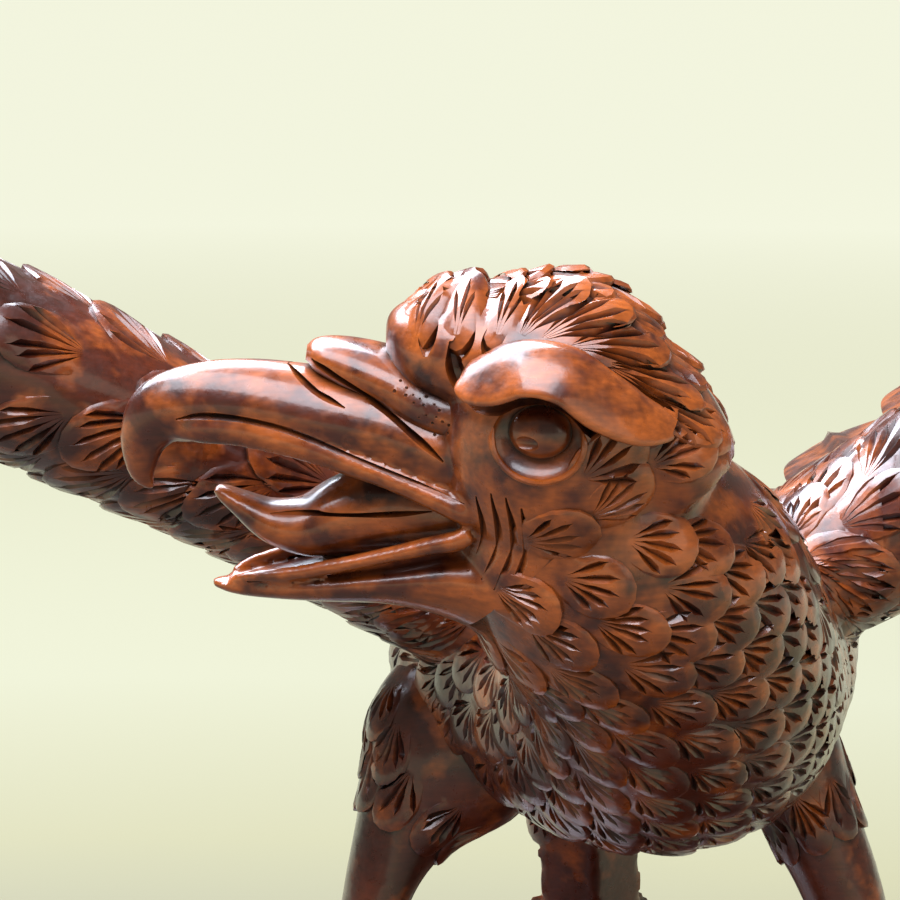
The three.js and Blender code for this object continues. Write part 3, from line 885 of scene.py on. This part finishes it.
cheek_feathers = [laid(head_skin, root, away_from_beak, SCALE["width"] * rng.uniform(0.94, 1.06),
                       SCALE["length"] * rng.uniform(0.95, 1.05), SCALE["lift"], SCALE["dome"])
                  for root in cheek_roots]
carve(head, head_skin, cheek_feathers, (5, 5, 6), 34)

# The locks of the crown stand thick on it, each swept back over the next, with long cuts.
LOCKS = [
    [(16.9, 9, 13), (-0.15, -0.35, 1), 6, 12, 2.3], [(17.5, 3.2, 15), (-0.4, 0, 1), 6, 11, 2.0],
    [(11.4, 12, 14.4), (-0.1, -0.45, 1), 6.4, 13, 2.4], [(6.6, 13, 15.2), (-0.35, -0.5, 1), 6.4, 13, 2.2],
    [(4.4, 13.5, 16), (-0.75, -0.5, 0.8), 7, 15, 2.0], [(2.6, 14, 17), (-1, -0.4, 0.35), 7, 16, 1.8], [(-0.4, 14, 17), (-1, -0.25, 0), 7.4, 17, 1.8],
    [(-5.8, 14, 15.3), (-1, -0.2, -0.4), 7.4, 17, 1.7], [(-11.9, 13.5, 11), (-1, -0.2, -0.6), 7.2, 14, 1.5],
    [(10, 4, 20), (-1, 0, 0.3), 6.5, 12, 1.8],
    [(2.5, 3.5, 21), (-1, 0, 0), 6.5, 12, 1.7], [(-4, 4, 20.5), (-1, 0, -0.4), 7, 13, 1.6],
    [(-11, 4, 16), (-1, 0, -0.8), 7, 13, 1.5],
]


def lock(root, way, width, length, lift, side, dome):
    start = head_place @ Vector((root[0], root[1] * side, root[2]))
    steer = head_turn @ Vector((way[0], way[1] * side, way[2]))

    def heading(point, up):
        return (steer - up * steer.dot(up)).normalized()
    return laid(head_skin, start, heading, width, length, lift, dome)


front_locks = [lock(*shape, side, 0.85) for shape in LOCKS[:4] for side in (1, -1)]
carve(head, head_skin, front_locks, (3, 3), 10, 1.5, 0.7, 0.66)
locks = [lock(*shape, side, 0.5) for shape in LOCKS[4:] for side in (1, -1)]
carve(head, head_skin, locks, (4, 5), 18, 2.3, 1.0, 0.72)
for side in (1, -1):
    pits = []
    start, end = Vector((17.2, 0, 8.9)), Vector((11.2, 0, 3.2))
    for _ in range(34):
        at = start.lerp(end, rng.random()) + Vector((rng.uniform(-1.3, 1.3), 0, rng.uniform(-1.3, 1.3)))
        point = on_face(at.x, at.z, side)
        if all((point - other).length > 0.75 for other in pits):
            pits.append(point)
    combine(head, [ball(point, Vector((1, 1, 1)) * rng.uniform(0.16, 0.3), fineness=1) for point in pits],
            "DIFFERENCE")
finished(head)
for spare in (block, torso):
    bpy.data.objects.remove(spare)

# The studio: a flat pale cream sheet under the carving, wide soft light from above like
# a skylight, a cooler window to the left, and the camera close in front of the head.
world = bpy.data.worlds.new("room")
world.use_nodes = True
world.node_tree.nodes["Background"].inputs["Color"].default_value = colour("f4f5e6")
world.node_tree.nodes["Background"].inputs["Strength"].default_value = 0.2
bpy.context.scene.world = world
bpy.context.scene.view_settings.view_transform = "Standard"


def lamp(name, at, target, size, power, tint):
    light = bpy.data.lights.new(name, "AREA")
    light.shape = "RECTANGLE"
    light.size, light.size_y = size
    light.energy = power
    light.color = colour(tint)[:3]
    item = bpy.data.objects.new(name, light)
    item.location = at
    item.rotation_euler = (Vector(target) - Vector(at)).to_track_quat("-Z", "Y").to_euler()
    bpy.context.scene.collection.objects.link(item)


lamp("window", (-0.3, 0.38, 0.85), (-0.03, -0.05, 0.12), (1.0, 0.7), 34, "e6efff")
lamp("skylight", (-0.25, -0.46, 0.98), (-0.02, -0.05, 0.12), (1.1, 0.7), 20, "eef3ff")
lamp("room_fill", (0.7, -1.1, 0.5), (0, -0.03, 0.1), (0.7, 0.6), 1.5, "fff1da")

sheet = bmesh.new()
bmesh.ops.create_circle(sheet, cap_ends=True, segments=96, radius=12)
sheet_mesh = bpy.data.meshes.new("floor")
sheet.to_mesh(sheet_mesh)
sheet.free()
floor = bpy.data.objects.new("floor", sheet_mesh)
bpy.context.scene.collection.objects.link(floor)
paper = bpy.data.materials.new("cream_paper_with_painted_light")
paper.use_nodes = True
tree = paper.node_tree
shader = tree.nodes["Principled BSDF"]
place = add(tree, "ShaderNodeTexCoord").outputs["Object"]
# painted light: the sheet glows though it is no lamp, with a painted shadow that darkens it near the bird; it glows
# more the further it lies from the bird, in tones out to 2 m
away = add(tree, "ShaderNodeVectorMath", {1: (-0.12, -0.1, 0)}, {0: place}, operation="DISTANCE")
share = add(tree, "ShaderNodeMapRange", {"From Min": 0, "From Max": 2}, {"Value": away.outputs["Value"]})
painted_floor_light_and_shadow = ramp(add(tree, "ShaderNodeValToRGB", links={"Fac": share.outputs["Result"]}),
            [(0.08, colour("2c2a20")), (0.2, colour("aca871")), (0.29, colour("c4c5a2")), (0.5, colour("d2d3b2")),
             (1, colour("eff1db"))])
tree.links.new(painted_floor_light_and_shadow.outputs["Color"], shader.inputs["Emission Color"])
shader.inputs["Emission Strength"].default_value = 1
shader.inputs["Base Color"].default_value = colour("52514a")
shader.inputs["Roughness"].default_value = 0.9
sheet_mesh.materials.append(paper)

camera = bpy.data.cameras.new("camera")
camera.lens = 160
camera.sensor_width = 36
eye_point = bpy.data.objects.new("camera", camera)
eye_point.location = (-0.1037, -0.5612, 0.2054)
eye_point.rotation_euler = (math.radians(90 - 8), 0, math.radians(-8))
bpy.context.scene.collection.objects.link(eye_point)
bpy.context.scene.camera = eye_point
